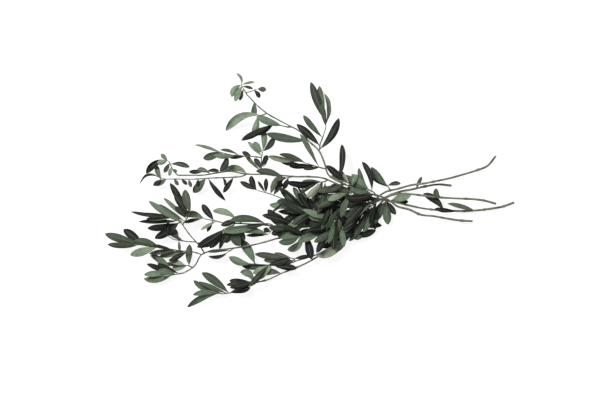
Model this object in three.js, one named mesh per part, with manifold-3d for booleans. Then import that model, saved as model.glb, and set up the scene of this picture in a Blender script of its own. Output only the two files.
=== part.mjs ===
// A bunch of dried olive branches, laid on a surface: six woody stems that cross at a neck, the leafy shoots
// that grow from them, and a few single leaves. Millimetres, +Z up, cut ends toward +X.

import * as THREE from 'three';
import { mergeVertices } from 'three/addons/utils/BufferGeometryUtils.js';
import Module from 'manifold-3d';

const wasm = await Module();
wasm.setup();

// Overall sizes
const bunchLength = 612;
const bunchWidth = 352;
const pileHeight = 40;

// Wood
const stemDiameter = 3.8;
const forkDiameter = 3.0;
const twigDiameter = 2.0;
const tipTaper = 0.62;
const stemSides = 6;
const twigSides = 5;
const stemStep = 20;
const twigStep = 12;

// Leaves
const leafWidth = 11;
const leafThickness = 0.8;
const petioleDiameter = 1.3;
const usualLeafLength = 50;
const bladeStations = [1, 0.76, 0.45, 0.12, 0];
const bladeFullness = 0.8;
const seenWidthShare = 1.12;
const upperShare = 0.25;
const archShare = 0.05;
const steepestRoll = 1.15;

// The thick of the bunch, where the shoots carry more and closer leaves: ovals in plan, turned from +X by tilt
const thickets = [
  { x: 20, y: -36, halfLength: 98, halfWidth: 56, tilt: 0.2 },
  { x: -30, y: -117, halfLength: 96, halfWidth: 17, tilt: 0.32 },
  { x: -126, y: -66, halfLength: 50, halfWidth: 24, tilt: 0.1 },
  { x: -44, y: 6, halfLength: 40, halfWidth: 15, tilt: -0.35 },
];
const thicketLeafGap = 6;
const thicketLeafLengths = [30.8, 50.6];
const thicketLeafWidths = [6, 9.5];
const thicketTurns = [0.25, 1.1];
const thicketRises = [-0.08, 0.08];
const thicketUpShare = 0.68;

// Clearances
const jointGap = 0.3;
const clearance = 0.45;
const floorGap = 0.15;
const rootReach = 1.4;

// The routes below are set out for a bunch of this length, width and pile height.
const drawn = { length: 612, width: 352, height: 40 };
const scale = new THREE.Vector3(
  bunchLength / drawn.length,
  bunchWidth / drawn.width,
  pileHeight / drawn.height,
);

// Which side of a leaf faces up: the dark upper side or the pale underside.
const UP = 1;
const UNDER = -1;

// Each stem from its cut end to its tip: [x, y, height above the surface].
const stems = {
  stem_1: [
    [243, -46, 6], [224, -45, 7], [203, -42, 8], [175, -37, 10], [156, -35, 12], [146, -28, 14],
    [135, -25, 17], [125, -22, 20], [112, -12, 25], [93, -6, 31], [71, -1.5, 36], [52, 9, 39],
    [39, 14, 40], [28, 21, 40], [21, 30, 40], [19, 42, 39], [13, 57, 38], [-4, 74, 35],
    [-18, 89, 32], [-27, 94, 31], [-51.5, 107, 27], [-73, 120, 24], [-83, 129, 22],
  ],
  stem_2: [
    [306, -18, 2.1], [294, -22, 2.6], [285, -25, 3.3], [266, -28, 4.5], [247, -30, 6], [224, -31, 7.5],
    [203, -30, 9], [186, -29, 11], [169, -27, 12.5], [145, -22, 14.5], [128, -18, 17], [112, -15, 19.5],
    [93, -11, 23], [71, -6, 27], [52, 3, 30], [40, 9, 31], [26, 15, 32], [18, 18.5, 32], [-2, 20.6, 32],
    [-30, 21, 31], [-51, 23.5, 30], [-71, 25, 28], [-94, 24, 26], [-120, 29, 24], [-140, 27, 22],
    [-153, 24, 21], [-179, 23, 19], [-202, 23, 17],
  ],
  stem_3: [
    [278, -20, 14], [268, -17, 14], [249, -13, 14], [231, -12.5, 14.5], [203, -11, 15], [169, -8, 15],
    [151, -5.5, 14.5], [128, -5, 13], [112, -10, 12], [90, -20, 12], [60, -30, 14], [30, -36, 17],
    [0, -42, 20], [-25, -50, 21], [-45, -54, 21], [-66, -52, 20], [-100, -50, 19], [-135, -48, 18],
  ],
  stem_4: [
    [277, 52, 22], [270, 41, 21.5], [256, 33, 21], [240, 28, 20.5], [214, 20, 20], [191, 15, 19],
    [169, 10.6, 17.5], [144, 7, 15], [122, 0, 11], [107, -4, 8], [92, -17, 7], [75, -30, 8],
    [50, -42, 10], [20, -55, 12], [-10, -64, 14], [-30, -69, 15], [-51, -72, 16], [-72, -78, 16.5],
    [-89, -82, 17], [-127, -88, 17.5], [-150, -90.5, 17], [-163, -93, 17], [-168, -102, 16],
    [-175, -112, 15], [-181.5, -120, 14], [-192, -124, 13],
  ],
  stem_5: [
    [211, 7.5, 9], [200, 10, 9.5], [189, 9, 9.5], [175, 7, 10], [160, 3.5, 10], [150, 1.5, 9.5],
    [132, -2, 7], [118, -7, 4.5], [105, -19, 2.4], [85, -40, 2.4], [60, -64, 4], [30, -86, 7],
    [0, -105, 11], [-20, -115, 12], [-46, -125, 13], [-65, -134, 13], [-91, -141, 12.5],
    [-110, -150, 12], [-122, -154, 12],
  ],
};

// The branches that grow from another one. Each twig is [x, y, rise above where it starts], and each leaf is
// [base x, base y, tip x, tip y, width seen from above, sideways bow as a share of its length, side up].
const branches = {
  stem_6: {
    host: 'stem_5',
    twigs: [[
      [34, -83, 0], [15, -93, 4], [0, -99.5, 7], [-17, -104, 8], [-31, -109, 9], [-55, -113, 9],
    ]],
  },
  shoot_1a: {
    host: 'stem_1',
    twigs: [
      [[-83, 129, 0], [-91, 138, -1], [-98, 146, -1], [-103, 152, -1], [-106, 160, -2]],
      [[-98, 146, 0], [-89, 150, 1], [-80, 153, 1]],
    ],
    leaves: [
      [-106, 160, -113, 176, 4, -0.2, UNDER],
      [-106, 160, -120, 141, 9, -0.15, UNDER],
      [-105, 157, -115, 134, 8, 0, UNDER],
      [-103, 152, -108, 136, 5, 0, UNDER],
      [-105, 159, -85, 163, 3.5, 0.05, UNDER],
      [-104, 156, -88, 153, 4, 0.05, UP],
      [-80, 153, -68, 152, 7, 0, UNDER],
      [-87, 151, -78, 139, 6, 0.1, UP],
      [-86, 132, -86, 112, 8, 0, UNDER],
    ],
  },
  shoot_1b: {
    host: 'stem_1',
    twigs: [[[-66, 114.5, 0], [-73, 113.5, 2], [-82, 111.5, 4]]],
    leaves: [
      [-76, 113, -129, 91, 11, -0.17, UNDER],
      [-82, 111.5, -88, 82, 9, 0.05, UNDER],
    ],
  },
  shoot_1c: {
    host: 'stem_1',
    twigs: [[[-27, 93.5, 0], [-36, 95, 1], [-50, 98.5, 2], [-60, 100, 3]]],
    leaves: [
      [-43, 97, -82, 111, 10, 0.03, UNDER],
      [-60, 100, -105, 75, 9, 0.03, UP],
      [-57, 99.5, -86, 84, 8, 0.05, UP],
    ],
  },
  shoot_1d: {
    host: 'stem_1',
    twigs: [[[11.5, 58, 0], [13, 70, 4], [15, 77, 6], [18, 82, 8], [22, 90, 9], [20.5, 97, 10], [20, 105, 11]]],
    leaves: [
      [20, 105, -1, 163, 11, 0.01, UP],
      [20, 103, 12, 157, 7, 0.03, UP],
      [21, 97, 19, 144, 6, -0.1, UNDER],
      [21, 95, 15, 128, 7, 0, UP],
      [16, 79, -12, 112, 8, 0.03, UNDER],
      [12.5, 62, 41, 108, 10.5, -0.08, UP],
      [12.5, 66, -22, 99, 10, -0.02, UP],
    ],
  },
  shoot_1e: {
    host: 'stem_1',
    twigs: [[[21, 31, 0], [13, 34, 2], [5, 37, 3], [-9, 41, 4], [-16, 43, 4]]],
    leaves: [
      [-15, 43, -64, 51, 7, 0, UNDER],
      [-9, 41, -48, 54, 4, -0.05, UP],
      [0, 39, -45, 42, 5, 0.04, UP],
      [5, 37, -33, 36, 7, 0, UP],
      [13, 34, -17, 84, 6, 0.03, UP],
      [12, 35, -12, 32, 5, 0, UP],
    ],
  },
  leaf_1i: { host: 'stem_1', leaves: [[-5, 75, -67, 85, 11, 0.04, UNDER]] },
  shoot_1j: {
    host: 'stem_1',
    twigs: [[[66, 1, 0], [58, 9, 4], [50, 14, 6]]],
    leaves: [
      [50, 14, 22, 37, 9, 0, UP],
      [53, 12, 30, 22, 9, 0, UNDER],
      [57, 9, 40, 30, 8, 0, UNDER],
      [60, 7, 68, 24, 7, 0, UNDER],
    ],
  },
  leaf_1f: { host: 'stem_1', leaves: [[39, 14, 45.5, 69, 8, -0.06, UP]] },
  shoot_1g: {
    host: 'stem_1',
    twigs: [[[99, -7, 0], [92, -2, 5], [85, 2, 8]]],
    leaves: [
      [85, 2, 44, 22, 11, 0, UNDER],
      [84, 2, 60, 24, 9, 0, UNDER],
      [90, -1, 76, 43, 8, -0.1, UP],
      [86, 1, 71, 34, 6, 0.1, UNDER],
      [88, 0, 58, 3, 8, 0.1, UNDER],
    ],
  },
  shoot_2a: {
    host: 'stem_2',
    twigs: [[[-202, 23, 0], [-208, 28, 3], [-211, 39, 5], [-217, 46, 6]]],
    leaves: [
      [-211, 41, -183, 35, 7, 0.08, UP],
      [-208, 32, -202, 28, 4, 0, UP],
      [-216, 45, -232, 43, 7, 0.1, UNDER],
      [-217, 46, -249, 26, 9, -0.14, UP],
      [-213, 42, -221, 27, 6, 0, UP],
      [-217, 46, -226, 55, 6, 0, UNDER],
      [-210, 36, -214, 22, 5, 0, UNDER],
    ],
  },
  shoot_2b: {
    host: 'stem_2',
    twigs: [[
      [-94, 24, 0], [-108, 20.6, -3], [-120, 20, -4], [-156, 18.5, -6], [-179, 17, -7], [-190, 17, -8],
      [-205, 17.5, -8], [-222, 17, -8], [-228, 18, -8],
    ]],
    leaves: [
      [-159, 18.5, -178, -3, 11, 0, UP],
      [-155, 18.5, -130, -15, 7, -0.05, UP],
      [-117, 20, -133, -3, 7, 0, UP],
      [-134, 19.5, -131, 8, 4, 0.2, UP],
      [-185, 17, -181, 5, 5, 0, UP],
      [-170, 18, -172, 6, 5, 0, UP],
      [-228, 18, -239, 8, 6, 0.15, UP],
      [-228, 18, -259, 10, 4, -0.3, UP],
      [-226, 17.5, -233, 38, 7, 0.1, UP],
      [-207, 17.5, -200, 8, 5, 0, UP],
      [-196, 17, -187, 9, 5, 0, UP],
      [-218, 17, -238, 11, 8, 0.1, UNDER],
    ],
  },
  shoot_2d: {
    host: 'stem_2',
    twigs: [[[-150, 25, 0], [-158, 28, 3], [-163, 28.5, 4]]],
    leaves: [
      [-154, 26.5, -172, 31, 7, -0.1, UNDER],
      [-163, 28.5, -184, 28, 6, 0, UP],
      [-158, 28, -139, 29, 5, 0.1, UP],
    ],
  },
  leaf_2e: { host: 'stem_2', leaves: [[-98, 24.5, -130, 30, 9, -0.18, UNDER]] },
  shoot_2f: {
    host: 'stem_2',
    twigs: [[[-76, 25, 0], [-75, 38, 4], [-75, 50, 7], [-73, 60, 9]]],
    leaves: [
      [-73, 60, -74, 94, 8, -0.08, UNDER],
      [-73, 59, -56, 80, 8, -0.1, UP],
      [-75, 52, -95, 73, 6, 0, UNDER],
      [-74, 57, -86, 73, 9, 0.05, UNDER],
      [-75, 40, -67, 53, 7, -0.1, UP],
      [-76, 30, -103, 59, 5, 0.08, UP],
      [-76, 32, -86, 48, 7, -0.05, UP],
      [-75, 35, -71, 50, 7, -0.15, UNDER],
    ],
  },
  shoot_2g: {
    host: 'shoot_2f',
    twigs: [[[-75, 49, 0], [-88, 51, 1], [-110, 52, 1], [-128, 55, 0], [-136, 57.5, 0]]],
    leaves: [
      [-136, 57.5, -175, 68, 5, 0, UNDER],
      [-108, 52, -136, 61, 4, -0.1, UP],
      [-132, 56, -162, 48, 10, 0, UNDER],
      [-128, 55, -137, 29, 9, 0.15, UP],
      [-98, 51.5, -124, 50, 6, 0, UP],
      [-90, 51, -104, 58, 6, 0, UP],
      [-113, 52.5, -146, 53, 7, 0.05, UNDER],
    ],
  },
  shoot_2h: {
    host: 'stem_2',
    twigs: [[[-28, 21, 0], [-34, 19, 4], [-42, 18, 6]]],
    leaves: [
      [-42, 18, -83, 29, 9, -0.08, UP],
      [-40, 18, -62, 5, 8, 0, UP],
      [-36, 19, -56, 17, 6, 0, UP],
      [-34, 19, -42, 2, 7, 0, UP],
    ],
  },
  shoot_2i: {
    host: 'stem_2',
    twigs: [[[26, 15, 0], [17, 13, -4], [9, 12, -6]]],
    leaves: [
      [12, 12.5, -24, 6, 9, 0, UP],
      [13, 12.5, -38, 13, 8, 0.06, UP],
      [9, 12, -17, -5, 4, 0, UP],
      [16, 13, -14, 14, 6, 0, UNDER],
      [17, 13, 8, -4, 7, 0, UP],
    ],
  },
  shoot_2j: {
    host: 'stem_2',
    twigs: [[[66, -4.5, 0], [55, -5, 4], [47, -4, 6]]],
    leaves: [
      [47, -4, 8, -1, 9, -0.08, UP],
      [50, -4.5, 18, 6, 6, 0, UP],
      [52, -5, 12, -9, 8, 0.05, UNDER],
      [58, -5, 30, 9, 8, 0, UP],
      [49, -4, 24, -14, 8, 0, UP],
      [60, -5, 38, 6, 8, 0, UNDER],
    ],
  },
  shoot_2k: {
    host: 'stem_2',
    twigs: [[[104, -13, 0], [92, -17, 5], [80, -17, 8]]],
    leaves: [
      [80, -17, 36, -10, 9, 0.05, UP],
      [82, -17, 38, -22, 9, 0, UP],
      [88, -17, 62, -6, 7, 0, UNDER],
      [92, -17, 70, -31, 9, 0, UP],
      [98, -15, 74, -6, 8, 0, UP],
      [86, -17, 56, -30, 8, 0, UNDER],
    ],
  },
  shoot_2l: {
    host: 'stem_2',
    twigs: [[[120, -16.5, 0], [120, -14, 5]]],
    leaves: [
      [120, -14, 149, -7, 11, 0, UNDER],
      [120, -15, 146, -17, 7, 0, UP],
    ],
  },
  leaf_2m: { host: 'stem_2', leaves: [[199, -30, 169, -5, 10, -0.1, UP]] },
  leaf_2n: { host: 'stem_2', leaves: [[247, -30, 205, -20, 7, 0, UP]] },
  leaf_2o: { host: 'stem_2', leaves: [[222, -31, 186, -27, 6, 0.05, UP]] },
  shoot_3a: {
    host: 'stem_3',
    twigs: [[[-135, -48, 0], [-150, -44.5, 0], [-161, -43, 1], [-165, -41.5, 2]]],
    leaves: [
      [-165, -41.5, -200, -33, 9, -0.05, UNDER],
      [-164, -42, -191, -48, 5, 0, UP],
      [-161, -43, -182, -31, 6, 0, UNDER],
      [-147, -45, -165, -21, 9, 0, UP],
      [-148, -45, -157, -62, 5, 0, UP],
      [-144, -46, -166, -59, 4, 0, UNDER],
    ],
  },
  shoot_3c: {
    host: 'stem_3',
    twigs: [[[-104, -50, 0], [-109, -45, 4], [-114, -42, 6]]],
    leaves: [
      [-114, -42, -148, -31, 9, -0.12, UNDER],
      [-110, -44.5, -136, -52, 8, 0, UP],
    ],
  },
  shoot_3d: {
    host: 'stem_3',
    twigs: [[[-112, -49.5, 0], [-122, -54, 4], [-133, -58, 6]]],
    leaves: [
      [-133, -58, -171, -85, 12, 0.05, UP],
      [-132, -57.5, -153, -87, 11, 0, UP],
      [-128, -56, -139, -88, 6, 0, UP],
      [-124, -55, -108, -83, 13, 0, UP],
      [-118, -52, -100, -74, 10, 0, UP],
      [-122, -54, -128, -79, 12, 0, UP],
    ],
  },
  shoot_3e: {
    host: 'stem_3',
    twigs: [
      [[-55, -53.5, 0], [-63, -50, 4], [-70, -50, 5]],
      [[-60, -51, 0], [-60, -60, 2], [-66, -67, 3]],
    ],
    leaves: [
      [-69, -50, -122, -45, 10, -0.1, UNDER],
      [-70, -50, -134, -61, 10, 0.02, UNDER],
      [-66, -49, -98, -54, 5, 0, UP],
      [-66, -67, -113, -60, 9, -0.08, UNDER],
      [-65, -66, -98, -68, 5, 0, UP],
      [-60, -62, -72, -58, 7, 0, UP],
    ],
  },
  shoot_3g: {
    host: 'stem_3',
    twigs: [[[-22, -49, 0], [-30, -55, 5], [-42, -59, 8]]],
    leaves: [
      [-42, -59, -66, -29, 12, 0, UP],
      [-32, -56, -57, -34, 9, 0, UP],
      [-42, -59, -69, -38, 8, -0.12, UP],
      [-40, -58, -60, -65, 9, 0, UP],
    ],
  },
  shoot_3h: {
    host: 'stem_3',
    twigs: [[[10, -40, 0], [-2, -32, 6], [-15, -25, 9], [-37, -15, 12], [-60, -6, 14], [-84, 1, 15]]],
    leaves: [
      [-84, 1, -107, 13, 7, 0, UP],
      [-82, 0, -90, 22, 8, 0.1, UP],
      [-62, -5, -52, 19, 8, 0, UP],
      [-57, -7, -44, 12, 7, 0, UP],
      [-68, -3, -68, 18, 6, 0, UP],
      [-70, -3, -80, 14, 4, 0, UP],
      [-38, -15, -60, -32, 4, 0, UP],
      [-9, -28, -48, 4, 10, 0.03, UNDER],
      [-3, -31, -41, 2, 3.5, 0, UP],
    ],
  },
  shoot_3i: {
    host: 'stem_3',
    twigs: [[[22, -37.5, 0], [10, -33, 5], [-3, -35, 8], [-12, -37, 9]]],
    leaves: [
      [-12, -37, -39, -29, 9, -0.1, UNDER],
      [-3, -35, -31, -23, 5, 0, UP],
      [-8, -36, -40, -41, 8, 0.05, UP],
    ],
  },
  shoot_3j: {
    host: 'stem_3',
    twigs: [[[66, -28, 0], [54, -22, 6], [40, -21, 9], [26, -22, 11]]],
    leaves: [
      [26, -22, -11, -18, 12, -0.03, UP],
      [40, -21, 6, -10, 9, 0, UNDER],
      [32, -22, 2, -32, 10, 0, UP],
      [50, -21, 20, -13, 8, 0, UP],
      [56, -23, 30, -30, 9, 0, UP],
      [38, -21, 18, -4, 8, 0, UP],
    ],
  },
  shoot_3k: {
    host: 'stem_3',
    twigs: [[[48, -33, 0], [38, -41, 4], [24, -45, 8]]],
    leaves: [
      [30, -44, 2, -30, 10, 0, UP],
      [26, -44, -4, -39, 9, 0, UNDER],
      [24, -45, -22, -54, 9, 0, UNDER],
      [36, -42, 8, -54, 9, 0, UP],
      [25, -45, -14, -47, 9, 0.04, UP],
      [40, -39, 14, -36, 8, 0, UNDER],
    ],
  },
  shoot_3l: {
    host: 'stem_3',
    twigs: [[[98, -16.5, 0], [88, -25, 6], [76, -29, 9]]],
    leaves: [
      [79, -28, 38, -38, 10, 0.03, UP],
      [85, -26, 50, -45, 9, 0.05, UP],
      [88, -25, 77, -51, 8, 0, UNDER],
      [84, -27, 58, -17, 8, 0, UP],
      [90, -24, 90, -48, 8, 0, UNDER],
    ],
  },
  leaf_3m: { host: 'stem_3', leaves: [[197, -10.5, 188, 3, 8, 0.3, UP]] },
  shoot_4a: {
    host: 'stem_4',
    twigs: [[[-192, -124, 0], [-203, -126, 0], [-212, -128, 0]]],
    leaves: [
      [-212, -128, -253, -133, 9, 0.08, UNDER],
      [-210, -127.5, -252, -127, 8, -0.06, UNDER],
      [-204, -126, -230, -120, 9, 0, UNDER],
      [-211, -128, -243, -98, 9, -0.12, UNDER],
      [-207, -127, -248, -111, 5, 0, UP],
      [-200, -125.5, -232, -110, 5, 0, UP],
    ],
  },
  shoot_4b: {
    host: 'stem_4',
    twigs: [[[-179, -117, 0], [-185, -113, 4], [-191, -112, 6]]],
    leaves: [
      [-184, -114, -184, -81, 9, 0.03, UP],
      [-191, -112, -215, -104, 8, 0, UNDER],
      [-190, -112, -221, -110, 6, 0, UP],
      [-187, -112.5, -210, -118, 9, 0, UNDER],
    ],
  },
  shoot_4c: {
    host: 'stem_4',
    twigs: [[[-161, -92, 0], [-169, -82, 6], [-184, -65, 12], [-192, -53, 15], [-201, -42, 17], [-207, -34, 18]]],
    leaves: [
      [-207, -34, -270, -32, 7, 0.08, UP],
      [-203, -39, -247, -42, 5, 0, UP],
      [-199, -45, -259, -47, 6, 0.04, UP],
      [-197, -46, -236, -72, 11, 0.05, UP],
      [-196, -48, -247, -57, 6, 0.03, UP],
      [-172, -79, -152, -83, 7, 0, UP],
    ],
  },
  shoot_4d: {
    host: 'shoot_4c',
    twigs: [[[-193, -51, 0], [-186, -41, 4], [-180, -32, 6]]],
    leaves: [
      [-180, -32, -189, 1, 11, 0.04, UP],
      [-184, -37, -205, -6, 9, 0, UP],
      [-186, -40, -212, 11, 5, -0.03, UP],
      [-190, -46, -230, -20, 6, 0, UNDER],
      [-191, -48, -243, -16, 3, 0.03, UNDER],
      [-188, -42, -222, -11, 6, 0, UNDER],
      [-186, -40, -204, -24, 8, 0, UP],
    ],
  },
  shoot_4e: {
    host: 'shoot_4c',
    twigs: [[[-173, -78, 0], [-182, -77, -1], [-195, -75.5, -1], [-208, -73, -1], [-217, -67, 0]]],
    leaves: [
      [-200, -75, -208, -57, 8, 0, UNDER],
      [-217, -67, -215, -48, 8, 0, UP],
      [-199, -75, -198, -91, 4, 0, UP],
      [-214, -69, -204, -52, 6, 0, UP],
      [-192, -76, -216, -62, 5, 0, UP],
    ],
  },
  shoot_4f: {
    host: 'stem_4',
    twigs: [[
      [-164, -95, 0], [-180, -92, 2], [-195, -91, 3], [-212, -88, 4], [-228, -86, 4], [-245, -84, 3],
      [-260, -81, 2],
    ]],
    leaves: [
      [-190, -91.5, -229, -99, 8, 0, UNDER],
      [-186, -92, -214, -106, 7, 0, UP],
      [-205, -89, -245, -95, 7, 0, UP],
      [-260, -81, -310, -65, 11, 0, UNDER],
      [-254, -82, -283, -59, 11, -0.05, UP],
      [-260, -81, -306, -81, 8, 0.05, UP],
      [-229, -86, -267, -76, 10, -0.08, UNDER],
      [-232, -86, -272, -97, 11, 0, UNDER],
      [-211, -88, -238, -81, 5, 0, UP],
    ],
  },
  leaf_4h: { host: 'stem_4', leaves: [[-94, -83, -133, -65, 9, -0.08, UP]] },
  shoot_4i: {
    host: 'stem_4',
    twigs: [[[-114, -86, 0], [-121, -90, 2], [-127, -93, 3]]],
    leaves: [
      [-127, -93, -155, -99, 5, 0.15, UP],
      [-121, -90, -157, -92, 4, 0, UP],
    ],
  },
  shoot_4j: {
    host: 'stem_4',
    twigs: [[[-2, -62, 0], [-12, -68, 6], [-20, -71, 9]]],
    leaves: [
      [-13, -68, -40, -44, 9, 0, UNDER],
      [-20, -71, -52, -66, 11, 0, UNDER],
      [-19, -71, -49, -77, 9, 0.1, UNDER],
      [-8, -66, 0, -103, 11, 0, UP],
      [-14, -69, -36, -89, 10, 0.2, UNDER],
      [-18, -70, -46, -57, 9, 0, UP],
      [-12, -68, -34, -62, 8, 0, UP],
    ],
  },
  shoot_4k: {
    host: 'stem_4',
    twigs: [[[48, -43, 0], [38, -54, 6], [28, -59, 9], [16, -62, 11]]],
    leaves: [
      [30, -58, -5, -60, 11, 0, UP],
      [16, -62, -20, -76, 10, 0, UNDER],
      [26, -60, -4, -49, 9, 0, UNDER],
      [36, -55, 4, -77, 10, 0.05, UP],
      [17, -62, -18, -62, 9, 0, UP],
      [42, -50, 22, -50, 8, 0, UNDER],
      [33, -57, 12, -84, 9, 0, UNDER],
    ],
  },
  shoot_4l: {
    host: 'stem_4',
    twigs: [[[120, -1, 0], [117, 4, 5], [114, 8, 7]]],
    leaves: [
      [114, 8, 90, 35, 10, 0.06, UNDER],
      [114, 7, 134, 10, 6, 0.1, UP],
      [116, 5, 89, 22, 7, 0, UP],
    ],
  },
  leaf_5a: { host: 'stem_5', leaves: [[157, 3, 166, 21, 5, 0, UP]] },
  shoot_5b: {
    host: 'stem_5',
    twigs: [[[113, -11, 0], [112, -18, 3]]],
    leaves: [
      [112, -18, 95, -46, 10, 0, UNDER],
      [112, -17, 115, -51, 11, 0, UP],
      [112.5, -15, 127, -36, 8, 0, UP],
    ],
  },
  shoot_5c: {
    host: 'stem_5',
    twigs: [[[84, -41, 0], [76, -50, 5], [66, -55, 8], [52, -60, 10]]],
    leaves: [
      [52, -60, 12, -66, 11, 0, UP],
      [66, -55, 106, -53, 9, 0.06, UP],
      [74, -51, 100, -46, 8, 0, UNDER],
      [58, -58, 36, -60, 9, 0, UP],
      [62, -56, 32, -73, 9, 0, UNDER],
      [72, -52, 50, -71, 8, 0, UP],
      [68, -54, 40, -49, 9, 0, UNDER],
    ],
  },
  shoot_5d: {
    host: 'stem_5',
    twigs: [[[66, -58, 0], [61, -68, 4], [50, -75, 6]]],
    leaves: [
      [50, -75, 8, -98, 12, 0.1, UNDER],
      [54, -73, 28, -91, 9, 0.1, UNDER],
      [52, -74, 32, -76, 7, 0, UP],
      [60, -68, 97, -60, 10, -0.05, UNDER],
      [58, -70, 76, -70, 8, 0, UNDER],
      [49, -76, 16, -86, 9, 0, UP],
    ],
  },
  leaf_5e: { host: 'stem_5', leaves: [[-46, -125, -85, -125, 11, -0.08, UNDER]] },
  shoot_5f: {
    host: 'stem_5',
    twigs: [[[-82, -139, 0], [-88, -137, 4], [-94, -137, 5]]],
    leaves: [
      [-94, -137, -124, -136, 7, 0, UP],
      [-92, -137, -128, -142, 6, 0, UP],
      [-88, -137, -107, -123, 10, -0.25, UNDER],
      [-84, -138.5, -122, -146, 8, 0, UP],
      [-83, -138.8, -52, -130, 9, 0.05, UNDER],
    ],
  },
  shoot_5g: {
    host: 'stem_5',
    twigs: [[[-122, -154, 0], [-131, -155.5, 0], [-140, -155, 1]]],
    leaves: [
      [-140, -155, -187, -176, 9, -0.1, UNDER],
      [-139, -155, -178, -157, 7, -0.08, UNDER],
      [-133, -155.5, -178, -136, 8, 0.06, UP],
      [-127, -155, -169, -137, 6, 0, UP],
      [-125, -154.5, -165, -124, 11, -0.04, UNDER],
      [-124, -154, -92, -146, 9, 0, UP],
    ],
  },
  shoot_6a: {
    host: 'stem_6',
    twigs: [[[-55, -113, 0], [-68, -112, -1], [-80, -111, -1], [-92, -110, -1]]],
    leaves: [
      [-92, -110, -124, -100, 10, 0.08, UNDER],
      [-85, -111, -107, -75, 12, -0.06, UNDER],
      [-84, -111, -91, -84, 5, 0.08, UP],
      [-64, -112, -106, -112, 8, 0.08, UP],
      [-58, -113, -22, -117, 9, 0, UP],
      [-60, -112.8, -88, -124, 10, 0.05, UNDER],
      [-66, -112, -32, -103, 9, 0, UP],
    ],
  },
  shoot_6b: {
    host: 'stem_6',
    twigs: [[[-22, -106, 0], [-30, -101, 4], [-40, -101, 6]]],
    leaves: [
      [-40, -101, -85, -96, 9, 0, UP],
      [-38, -101, -80, -106, 8, 0.03, UNDER],
      [-30, -101, -56, -94, 5, 0, UP],
      [-27, -103, -4, -98, 5, 0, UP],
      [-25, -104, -60, -118, 9, 0, UNDER],
      [-36, -101, -64, -108, 8, 0, UP],
    ],
  },
};

const woodMaterial = new THREE.MeshStandardMaterial({ name: 'bark', color: 0x6f7360, roughness: 0.85, metalness: 0 });
const leafMaterial = new THREE.MeshStandardMaterial({ name: 'leaf', color: 0x5c6a5a, roughness: 0.7, metalness: 0 });

const up = new THREE.Vector3(0, 0, 1);

// A repeatable number from 0 to 1 for each seed, so that the bunch is the same every time.
function noise(seed) {
  const wave = Math.sin(seed * 12.9898 + 4.1414) * 43758.5453;
  return wave - Math.floor(wave);
}

function solidOf(geometry) {
  geometry.deleteAttribute('normal');
  geometry.deleteAttribute('uv');
  const merged = mergeVertices(geometry, 1e-4);
  return new wasm.Manifold(new wasm.Mesh({
    numProp: 3,
    vertProperties: new Float32Array(merged.attributes.position.array),
    triVerts: new Uint32Array(merged.index.array),
  }));
}

function meshOf(solid, name, material) {
  const { vertProperties, triVerts } = solid.getMesh();
  const geometry = new THREE.BufferGeometry();
  geometry.setAttribute('position', new THREE.BufferAttribute(new Float32Array(vertProperties), 3));
  geometry.setIndex(new THREE.BufferAttribute(new Uint32Array(triVerts), 1));
  geometry.computeVertexNormals();
  const mesh = new THREE.Mesh(geometry, material);
  mesh.name = name;
  return mesh;
}

function place([x, y, z]) {
  return new THREE.Vector3(x, y, z).multiply(scale);
}

function curveThrough(points) {
  return new THREE.CatmullRomCurve3(points, false, 'centripetal');
}

// A tapered round limb bent along a curve; grown by a skin, it is also the room that its neighbours must leave.
function limb({ curve, radius, sides, steps }, skin = 0) {
  const frames = curve.computeFrenetFrames(steps, false);
  const geometry = new THREE.CylinderGeometry(1, 1, 1, sides, steps);
  const position = geometry.attributes.position;
  const point = new THREE.Vector3();
  for (let i = 0; i < position.count; i += 1) {
    const ring = Math.round((0.5 - position.getY(i)) * steps);
    const along = ring / steps;
    const reach = radius * (1 - (1 - tipTaper) * along) + skin;
    point.copy(curve.getPointAt(along));
    point.addScaledVector(frames.normals[ring], position.getX(i) * reach);
    point.addScaledVector(frames.binormals[ring], position.getZ(i) * reach);
    if (ring === steps) point.addScaledVector(frames.tangents[ring], skin);
    position.setXYZ(i, point.x, point.y, point.z);
  }
  return solidOf(geometry);
}

// How wide a blade is at a share of its length, and how its petiole thickens it near the base.
function halfWidthAt(along, width) {
  return (width / 2) * Math.sin(Math.PI * along ** 1.1) ** bladeFullness + (petioleDiameter / 2) * (1 - along) ** 3;
}

// A leaf as a sphere of four sides drawn out along its spine: left edge, upper face, right edge and keel.
function blade({ spine, width, roll }, from = 0) {
  const rings = bladeStations.length - 1;
  const geometry = new THREE.SphereGeometry(1, 4, rings);
  const position = geometry.attributes.position;
  const point = new THREE.Vector3();
  for (let i = 0; i < position.count; i += 1) {
    const ring = Math.round((Math.acos(THREE.MathUtils.clamp(position.getY(i), -1, 1)) / Math.PI) * rings);
    const along = from + (1 - from) * bladeStations[ring];
    const tangent = spine.getTangent(along);
    const side = tangent.clone().cross(up).normalize().applyAxisAngle(tangent, roll);
    const normal = side.clone().cross(tangent);
    const round = Math.sin((Math.PI * ring) / rings);
    const across = ring % rings ? position.getX(i) / round : 0;
    const through = ring % rings ? position.getZ(i) / round : 0;
    const depth = through > 0 ? leafThickness * upperShare : leafThickness * (1 - upperShare);
    point.copy(spine.getPoint(along));
    point.addScaledVector(side, across * halfWidthAt(along, width));
    point.addScaledVector(normal, through * depth);
    position.setXYZ(i, point.x, point.y, point.z);
  }
  return solidOf(geometry);
}

// Everything placed so far, which what comes later keeps clear of; a rooted leaf is a leaf with its root end.
const placed = [];

function remember(name, solid, rooted = false) {
  placed.push({ name, solid, rooted, box: solid.boundingBox() });
}

function boxesMeet(a, b, reach) {
  return [0, 1, 2].every((k) => a.min[k] - reach < b.max[k] && b.min[k] - reach < a.max[k]);
}

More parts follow.
